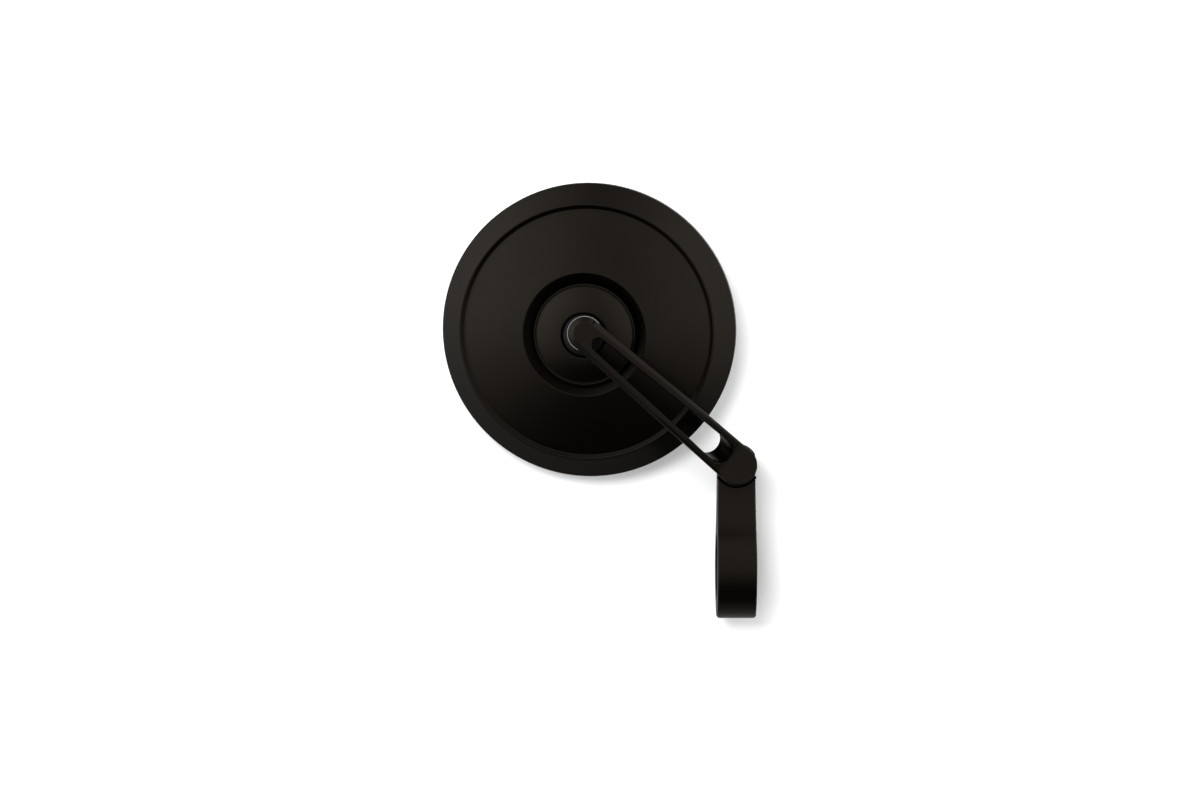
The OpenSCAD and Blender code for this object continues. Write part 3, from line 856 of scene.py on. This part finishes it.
@dataclass
class SwingArm:
    """The slotted arm with its ball stud, bright washer and thread insert.

    The arm is made in its own frame: u runs from the pivot to the hub, y across the
    arm, and v forward from the foot's seat. Sizes are in millimetres and the solids' own,
    apart from the rounding of the edges. The last five say how far cutters reach.
    """

    finishes: Finishes
    joint: BallJointFrame
    edge_round: float = 0.3
    pivot: tuple[float, float, float] = (0.0, -6.5, 33.3)
    length: float = 65.3
    thick: float = 9.2
    foot_r: float = 6.4
    hub_r: float = 5.3
    rise: float = 13.5
    slope: float = 36.0
    foot_flat: float = 2.0
    foot_bend_r: float = 4.0
    long_bend_r: float = 26.0
    slot_w_hub: float = 4.5
    slot_w_foot: float = 8.2
    slot_hub: float = 5.9
    slot_foot: float = 3.6
    chamfer_hub: float = 1.7
    chamfer_foot: float = 0.4
    insert_r: float = 3.9
    insert_len: float = 6.4
    thread_r: float = 3.05
    thread_depth: float = 7.3
    hub_hole_r: float = 2.55
    hub_hole_depth: float = 7.5
    chords: int = 20
    plan_depth: float = 90.0
    shoulder_depth: float = 140.0
    shoulder_low: float = -150.0
    slot_reach: float = 160.0
    slot_depth: float = 260.0

    def place(self) -> Matrix:
        """Places the arm.

        Returns:
            The arm's frame in the row frame.
        """
        lean = Matrix.Rotation(math.radians(-self.joint.arm_lean - 90), 4, "Y")
        upright = Matrix.Rotation(math.radians(90), 4, "X")
        return Matrix.Translation([mm(c) for c in self.pivot]) @ lean @ upright

    def face(self, lift: float) -> list[Point]:
        """Lists the back face (lift 0) or front face (lift of the thickness) as (u, v).

        Args:
            lift: Height over the back face.

        Returns:
            The points from before the pivot to beyond the hub.
        """
        middle_r = self.foot_bend_r + self.thick / 2
        slope = math.radians(self.slope)
        drop = 1 - math.cos(slope)
        run = (self.rise - (middle_r + self.long_bend_r) * drop) / math.tan(slope)
        sine = math.sin(slope)
        long_u = self.foot_flat + middle_r * sine + run
        flat_u = long_u + self.long_bend_r * sine
        points = [(-2 * self.foot_r, lift)]
        points += arc((self.foot_flat, middle_r + self.thick / 2), middle_r + self.thick / 2 - lift,
                      270, 270 + self.slope, self.chords)
        points += arc((flat_u, self.rise + self.thick / 2 - self.long_bend_r),
                      self.long_bend_r - self.thick / 2 + lift, 90 + self.slope, 90, self.chords)
        return points + [(self.length + 2 * self.hub_r, self.rise + lift)]

    def crown(self, u: float) -> float:
        """Gives where the shoulder along an edge starts.

        Args:
            u: Distance from the pivot along the arm.

        Returns:
            The distance from the arm's middle line.
        """
        t = min(u / self.length, 1)
        half = self.foot_r + (self.hub_r - self.foot_r) * t
        return half - self.chamfer_foot - (self.chamfer_hub - self.chamfer_foot) * t

    @staticmethod
    def tapered(u0: float, r0: float, u1: float, r1: float, steps: int) -> list[Point]:
        """Lists a tapered outline with round ends, counterclockwise.

        Args:
            u0: Middle of the first end.
            r0: Its radius.
            u1: Middle of the second end.
            r1: Its radius.
            steps: Chords in each end.

        Returns:
            The outline's points.
        """
        tilt = math.degrees(math.asin((r0 - r1) / (u1 - u0)))
        last = arc((u1, 0), r1, tilt - 90, 90 - tilt, steps)
        return last + arc((u0, 0), r0, 90 - tilt, 270 + tilt, steps)

    def plan(self, name: str, outline: Sequence[Point]) -> bpy.types.Object:
        """Extrudes an outline seen from the front through the whole arm.

        Args:
            name: The tool's name.
            outline: Points as (u, y).

        Returns:
            The tool.
        """
        tool = extrude_outline(name, outline, self.plan_depth)
        settle(tool, Matrix.Translation((0, 0, mm(self.rise))))
        return tool

    def shoulder(self, side: int) -> bpy.types.Object:
        """Makes all that lies under the 45 degree shoulder along one edge.

        Args:
            side: 1 or -1 for the edge.

        Returns:
            The tool to intersect with.
        """
        half_root = math.sqrt(0.5)
        points = self.face(self.thick)
        # The shoulder runs parallel past the hub's middle, so it never cuts into the hub's cone.
        points.insert(-1, (self.length, self.rise + self.thick))
        top = [(u, (v + self.crown(u)) * half_root) for u, v in points]
        outline = [(-2 * self.foot_r, self.shoulder_low),
                   (self.length + 2 * self.hub_r, self.shoulder_low)] + top[::-1]
        tool = extrude_outline("shoulder_tool", outline, self.shoulder_depth)
        settle(tool, Matrix.Rotation(math.radians(90 - side * 45), 4, "X"))
        return tool

    def bar(self) -> bpy.types.Object:
        """Mills the arm: the bent bar, its shoulders, then the slot and the threads.

        Returns:
            The arm.
        """
        top = self.rise + self.thick
        band = self.face(0) + self.face(self.thick)[::-1]
        piece = extrude_outline("arm_bar", band, 4 * self.foot_r)
        settle(piece, Matrix.Rotation(math.radians(90), 4, "X"))
        outline = self.tapered(0, self.foot_r, self.length, self.hub_r, steps=48)
        cut(piece, self.plan("arm_outline", outline), "INTERSECT")
        for side in (1, -1):
            cut(piece, self.shoulder(side), "INTERSECT")
        # A 45 degree cone carries the shoulder round the hub, 1 mm past the arm both ways.
        crown = self.crown(self.length)
        wide = 3 * self.foot_r
        deselect()
        bpy.ops.mesh.primitive_cone_add(
            vertices=192, radius1=mm(crown + top + 1), radius2=mm(crown - 1), depth=mm(top + 2),
            location=(mm(self.length), 0, mm(top) / 2))
        hub = bpy.context.active_object
        cut(hub, block((-wide, -wide, -1), (self.length, wide, top + 2)), "UNION")
        cut(piece, hub, "INTERSECT")
        # Seen from the front the slot is a shade wider at the foot than the round cutter
        # that ends it there along the slope, so the cutter alone shapes that end.
        end_r = self.slot_w_foot / 2
        slot = self.plan("slot_outline", self.tapered(
            0, end_r + 0.15, self.length - self.slot_hub, self.slot_w_hub / 2, steps=32))
        end = extrude_outline(
            "slot_end", arc((end_r, 0), end_r, 90, 270, 48)
            + [(self.slot_reach, -end_r), (self.slot_reach, end_r)], self.slot_depth)
        settle(end, Matrix.Translation((mm(self.slot_foot), 0, mm(self.thick)))
               @ Matrix.Rotation(math.radians(-self.slope), 4, "Y"))
        cut(slot, end, "INTERSECT")
        cut(piece, slot)
        soften(piece, self.edge_round, segments=3, angle_deg=30)
        # The bar starts to rise before the round foot ends, so a disc fills the foot there.
        disc = cylinder(self.foot_r - self.edge_round - 0.1, (0, 0, 0), (0, 0, self.thick / 2))
        cut(piece, disc, "UNION")
        cut(piece, cylinder(self.thread_r, (0, 0, -1), (0, 0, self.thread_depth), 64))
        cut(piece, cylinder(self.insert_r, (0, 0, -1), (0, 0, self.insert_len), 64))
        cut(piece, cylinder(self.hub_hole_r, (self.length, 0, self.rise - 1),
                            (self.length, 0, self.rise + self.hub_hole_depth), 64))
        settle(piece, self.place())
        paint(piece, self.finishes.anodised)
        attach(piece, Body.ARM.value)
        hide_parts("arm")
        return piece

    def dress(self, nodes: dict[str, bpy.types.Object]) -> None:
        """Gives the arm's other CAD nodes their finishes.

        Args:
            nodes: The CAD nodes by name.
        """
        along_y = (0, 1, 0)
        paint(nodes["ball_stud"], self.finishes.black_oxide)
        # Painted shade: the washer's middle and the part of its rim toward the pivot are painted
        # black for the shade under the arm's hub and in its slot; only a thin rim stays bright
        # metal.
        low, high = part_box("stud_washer")
        bright_w = 0.27
        painted_shade_r = (high[0] - low[0]) * 1000 / 2 - bright_w
        unshaded_side = tuple(-self.joint.along_arm())
        paint(nodes["stud_washer"], self.finishes.turned(
            "washer_rim_with_painted_shade", self.joint.ball, along_y, painted_shade_r, unshaded_side))
        paint(nodes["foot_insert"],
              self.finishes.turned("turned_steel_insert", self.pivot, along_y))
        for name in ("front_liner", "rear_liner"):
            paint(nodes[name], self.finishes.nylon)


@dataclass
class BarClamp:
    """The clamp on the handlebar with its screw and washers.

    Sizes are in millimetres and the solids' own, apart from the rounding of the edges,
    where the taper starts, and the friction washer's play in its seat.
    """

    finishes: Finishes
    edge_round: float = 0.6
    ring_r: float = 17.0
    bore_r: float = 11.15
    ring_w: float = 12.8
    ear_w: float = 12.2
    taper_start: float = 2.0
    pivot_z: float = 33.3
    ear_front: float = 8.0
    ear_rear: float = 7.0
    ear_fillet: float = 24.0
    ear_top_r: float = 6.8
    slit_w: float = 2.0
    seat_y: float = -6.0
    seat_r: float = 7.05
    pocket_y: float = 5.5
    pocket_r: float = 5.75
    hole_r: float = 3.25
    washer_play: float = 0.05
    washer_inset: float = 0.1
    washer_round: float = 0.1
    foot_round: float = 1.0
    hollow_steps: int = 24

    def hollow(self, face: float) -> list[Point]:
        """Lists one ear's hollow curve as distances from the middle and heights.

        Args:
            face: Distance of the ear's flat face from the middle.

        Returns:
            The points from the ring up to the ear's face.
        """
        centre_y = face + self.ear_fillet
        centre_z = math.sqrt((self.ring_r + self.ear_fillet) ** 2 - centre_y ** 2)
        touch = math.degrees(math.atan2(centre_z, centre_y))
        return arc((centre_y, centre_z), self.ear_fillet, 180 + touch, 180, self.hollow_steps)

    def side_view(self) -> list[Point]:
        """Lists the clamp's outline seen along the handlebar.

        Returns:
            The points as (Y, Z), counterclockwise.
        """
        top = self.pivot_z + self.ear_top_r
        rear = self.hollow(self.ear_rear)
        front = self.hollow(self.ear_front)
        rear_angle = math.degrees(math.atan2(rear[0][1], rear[0][0]))
        front_angle = math.degrees(math.atan2(front[0][1], front[0][0]))
        ring = arc((0, 0), self.ring_r, 180 - front_angle, 360 + rear_angle, 120)
        outline = ring + rear[1:] + [(self.ear_rear, top), (-self.ear_front, top)]
        outline += [(-y, z) for y, z in reversed(front[1:])]
        return outline

    def front_view(self) -> list[Point]:
        """Lists the clamp's outline seen from the front.

        Returns:
            The points as (X, Z), counterclockwise.
        """
        half, ear = self.ring_w / 2, self.ear_w / 2
        corner = math.degrees(math.acos(ear / self.ear_top_r))
        right = arc((half - self.foot_round, -self.ring_r + self.foot_round), self.foot_round,
                    270, 360, 6)
        right += [(half, self.taper_start), (ear, self.pivot_z)]
        top = arc((0, self.pivot_z), self.ear_top_r, corner, 180 - corner, 24)
        left = [(-x, z) for x, z in reversed(right)]
        return right + top + left

    def ring(self) -> bpy.types.Object:
        """Mills the clamp from a block: its side view, front view, bore, slit and seats.

        Returns:
            The clamp.
        """
        piece = extrude_outline("clamp_ring", self.side_view(), self.ring_w + 1)
        # Drawn in the XY plane, the side view is turned so that its X lies along Y.
        settle(piece, Matrix(((0, 0, 1, 0), (1, 0, 0, 0), (0, 1, 0, 0), (0, 0, 0, 1))))
        face = extrude_outline("front_face", self.front_view(), 60)
        settle(face, Matrix.Rotation(math.radians(90), 4, "X"))
        cut(piece, face, "INTERSECT")
        wide, pivot, top = self.ring_w, self.pivot_z, self.pivot_z + self.ear_top_r + 1
        cut(piece, cylinder(self.bore_r, (-wide, 0, 0), (wide, 0, 0), 160))
        cut(piece, block((-wide, -self.slit_w / 2, 0), (wide, self.slit_w / 2, top)))
        # The cutters for seat, pocket and hole run out past the ears' faces.
        seat_out, pocket_out, hole_out = self.seat_y - 8, self.pocket_y + 7, 20
        seat = cylinder(self.seat_r, (0, self.seat_y, pivot), (0, seat_out, pivot))
        cut(seat, block((-wide, seat_out, pivot), (wide, self.seat_y, top)), "UNION")
        cut(piece, seat)
        cut(piece, cylinder(self.pocket_r, (0, self.pocket_y, pivot), (0, pocket_out, pivot)))
        cut(piece, cylinder(self.hole_r, (0, -hole_out, pivot), (0, hole_out, pivot), 64))
        soften(piece, self.edge_round, segments=4, angle_deg=30)
        paint(piece, self.finishes.anodised)
        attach(piece, Body.MOUNT.value)
        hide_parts("clamp")
        return piece

    def washer(self) -> bpy.types.Object:
        """Cuts the black friction washer, widened to fill the seat under the arm's foot, so that
        its black also stands in for the shade in the gap there.

        Returns:
            The washer.
        """
        low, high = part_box("friction_washer")
        # The washer is real black nylon. It is widened to the seat's edge, so that its black also
        # serves as painted shade in the gap under the foot.
        thick, side = (high[1] - low[1]) * 1000, self.seat_r - self.washer_play
        inner = self.hole_r + self.washer_play
        profile = [(inner, 0), (side, 0), (side, thick), (inner, thick)]
        piece = turn_on_lathe("friction_washer_disc", profile, 96, closed=True)
        # Two flats keep it inside the ear's sides.
        flat, reach = self.ear_w / 2 - self.washer_inset, 2 * self.seat_r
        cut(piece, block((-flat, -reach, -reach), (flat, reach, reach)), "INTERSECT")
        soften(piece, self.washer_round, segments=2, angle_deg=30)
        settle(piece, Matrix.Translation((0, low[1], mm(self.pivot_z)))
               @ Matrix.Rotation(math.radians(-90), 4, "X"))
        paint(piece, self.finishes.nylon)
        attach(piece, Body.MOUNT.value)
        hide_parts("friction_washer")
        return piece

    def dress(self, nodes: dict[str, bpy.types.Object]) -> None:
        """Gives the clamp's other CAD nodes their finishes.

        Args:
            nodes: The CAD nodes by name.
        """
        paint(nodes["clamp_screw"], self.finishes.black_oxide)
        middle = (0, self.pocket_y, self.pivot_z)
        paint(nodes["screw_washer"],
              self.finishes.turned("turned_steel_washer", middle, (0, 1, 0)))


@dataclass
class Studio:
    """The camera, the table behind the object, and the soft light.

    Attributes:
        camera_at: The camera's place, in millimetres; it looks along +Y.
        lens: Focal length in millimetres.
        sensor_w: The sensor's width in millimetres.
        table_y: Where the table's top lies behind the object, in millimetres.
        table_size: The table's side, in metres.
        table_glow: Light that the camera sees the paper give off, so that it comes out
            white without more light on the object.
        box_at: The soft box's place, in metres.
        box_aim: The place that it faces, in metres.
        box_size: Its side, in metres.
        box_power: Its power, in watts.
        room: The room's brightness as a sum of parts: the whole room, the window on the
            left, the wall on the right, the wall above, the ceiling's shade and the dark
            floor in front. Each is a product of ramps: the direction's part, where the
            ramp starts and ends, and its value at the start and end.
        darkest: The room's least brightness.
    """

    camera_at: tuple[float, float, float] = (-44.55, -1320.0, 54.45)
    lens: float = 120.8
    sensor_w: float = 36.0
    table_y: float = 17.4
    table_size: float = 8.0
    table_glow: float = 0.06
    box_at: tuple[float, float, float] = (-0.36, -1.55, 0.45)
    box_aim: tuple[float, float, float] = (-0.03, 0.0, 0.05)
    box_size: float = 0.55
    box_power: float = 19.5
    room: tuple[tuple[tuple[str, float, float, float, float], ...], ...] = (
        (("Y", 0.0, 0.4, 0.62, 0.35),),
        (("X", -1.0, 0.0, 1.45, 0.0), ("Y", 0.0, 0.5, 1.0, 0.1), ("Z", -0.9, 0.0, 0.0, 1.0)),
        (("X", 0.0, 0.8, 0.0, 0.9), ("Y", -0.3, 0.3, 1.0, 0.5), ("Z", -0.8, -0.1, 0.0, 1.0)),
        (("Z", 0.0, 0.7, 0.0, 0.2),),
        (("Z", 0.75, 1.0, 0.0, -0.35),),
        (("Z", -0.72, -0.15, -0.6, 0.0), ("Y", -0.2, 0.3, 1.0, 0.1)),
    )
    darkest: float = 0.06

    def camera(self) -> None:
        """Sets the camera where the photograph was taken from."""
        data = bpy.data.cameras.new("studio_camera")
        data.lens = self.lens
        data.sensor_width = self.sensor_w
        camera = bpy.data.objects.new("studio_camera", data)
        bpy.context.scene.collection.objects.link(camera)
        camera.location = [mm(c) for c in self.camera_at]
        camera.rotation_euler = (math.radians(90), 0, 0)
        bpy.context.scene.camera = camera

    def table(self) -> None:
        """Lays the pale table behind the object. Only the camera sees it, from its front."""
        deselect()
        bpy.ops.mesh.primitive_plane_add(
            size=self.table_size, location=(0, mm(self.table_y), 0),
            rotation=(math.radians(90), 0, 0))
        table = bpy.context.active_object
        table.name = "table_top"
        # White paper: quite matt, so it shows the object's shadow and no reflection.
        material, tree = empty_material("white_paper")
        path = add_node(tree, "ShaderNodeLightPath")
        side = add_node(tree, "ShaderNodeNewGeometry")
        front = add_node(tree, "ShaderNodeMath", {"operation": "SUBTRACT", "in:0": 1.0},
                         {1: side.outputs["Backfacing"]})
        seen = add_node(tree, "ShaderNodeMath", {"operation": "MULTIPLY"},
                        {0: path.outputs["Is Camera Ray"], 1: front.outputs[0]})
        paper = add_node(tree, "ShaderNodeBsdfDiffuse", {"in:Color": srgb("#f4f4f4")})
        white = add_node(tree, "ShaderNodeEmission", {
            "in:Color": srgb("#ffffff"), "in:Strength": self.table_glow,
        })
        shown = add_node(tree, "ShaderNodeAddShader",
                         links={0: paper.outputs[0], 1: white.outputs[0]})
        clear = add_node(tree, "ShaderNodeBsdfTransparent")
        mix = add_node(tree, "ShaderNodeMixShader", links={
            0: seen.outputs[0], 1: clear.outputs[0], 2: shown.outputs[0],
        })
        add_node(tree, "ShaderNodeOutputMaterial", links={"Surface": mix.outputs[0]})
        paint(table, material)

    def soft_box(self) -> None:
        """Hangs the soft box that casts the shadow; the metal's sheen is the room's."""
        data = bpy.data.lights.new("front_box", "AREA")
        data.shape = "SQUARE"
        data.size = self.box_size
        data.energy = self.box_power
        lamp = bpy.data.objects.new("front_box", data)
        bpy.context.scene.collection.objects.link(lamp)
        lamp.location = self.box_at
        way = Vector(self.box_aim) - Vector(self.box_at)
        lamp.rotation_euler = way.to_track_quat("-Z", "Y").to_euler()
        lamp.visible_glossy = False

    def world(self) -> None:
        """Lights the room by direction; the camera itself sees white all round."""
        world = bpy.data.worlds.new("studio_room")
        bpy.context.scene.world = world
        world.use_nodes = True
        tree = world.node_tree
        tree.nodes.clear()
        path = add_node(tree, "ShaderNodeLightPath")
        way = add_node(tree, "ShaderNodeTexCoord")
        parts = add_node(tree, "ShaderNodeSeparateXYZ", links={0: way.outputs["Generated"]})
        level: Optional[bpy.types.NodeSocket] = None
        for ramps in self.room:
            share: Optional[bpy.types.NodeSocket] = None
            for axis, low, high, start, end in ramps:
                ramp = add_node(tree, "ShaderNodeMapRange", {
                    "in:From Min": low, "in:From Max": high, "in:To Min": start, "in:To Max": end,
                }, {"Value": parts.outputs[axis]}).outputs[0]
                share = ramp if share is None else add_node(
                    tree, "ShaderNodeMath", {"operation": "MULTIPLY"},
                    {0: share, 1: ramp}).outputs[0]
            level = share if level is None else add_node(
                tree, "ShaderNodeMath", {"operation": "ADD"},
                {0: level, 1: share}).outputs[0]
        room = add_node(tree, "ShaderNodeMath", {"operation": "MAXIMUM", "in:1": self.darkest},
                        {0: level})
        camera = add_node(tree, "ShaderNodeMath", {"operation": "MAXIMUM"},
                          {0: room.outputs[0], 1: path.outputs["Is Camera Ray"]})
        light = add_node(tree, "ShaderNodeBackground", {"in:Color": srgb("#ffffff")},
                         {"Strength": camera.outputs[0]})
        add_node(tree, "ShaderNodeOutputWorld", links={"Surface": light.outputs[0]})

    def build(self) -> None:
        """Sets up all of the studio and the plain view transform."""
        bpy.context.scene.view_settings.view_transform = "Standard"
        self.camera()
        self.table()
        self.soft_box()
        self.world()


def main() -> None:
    """Builds the mirror round its frame and reports each piece."""
    logging.basicConfig(level=logging.INFO, format="%(name)s: %(message)s")
    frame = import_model()
    nodes = frame["nodes"]
    finishes = Finishes()
    joint = BallJointFrame()
    head = MirrorHead(finishes, joint)
    arm = SwingArm(finishes, joint)
    clamp = BarClamp(finishes)
    Studio().build()
    for piece in (head.housing(), head.cover(), head.glass(),
                  arm.bar(), clamp.ring(), clamp.washer()):
        LOG.info("%s: %d faces", piece.name, len(piece.data.polygons))
    for group in (head, arm, clamp):
        group.dress(nodes)
        LOG.info("%s dressed", type(group).__name__)
    bpy.context.view_layer.update()


if __name__ == "__main__":
    main()
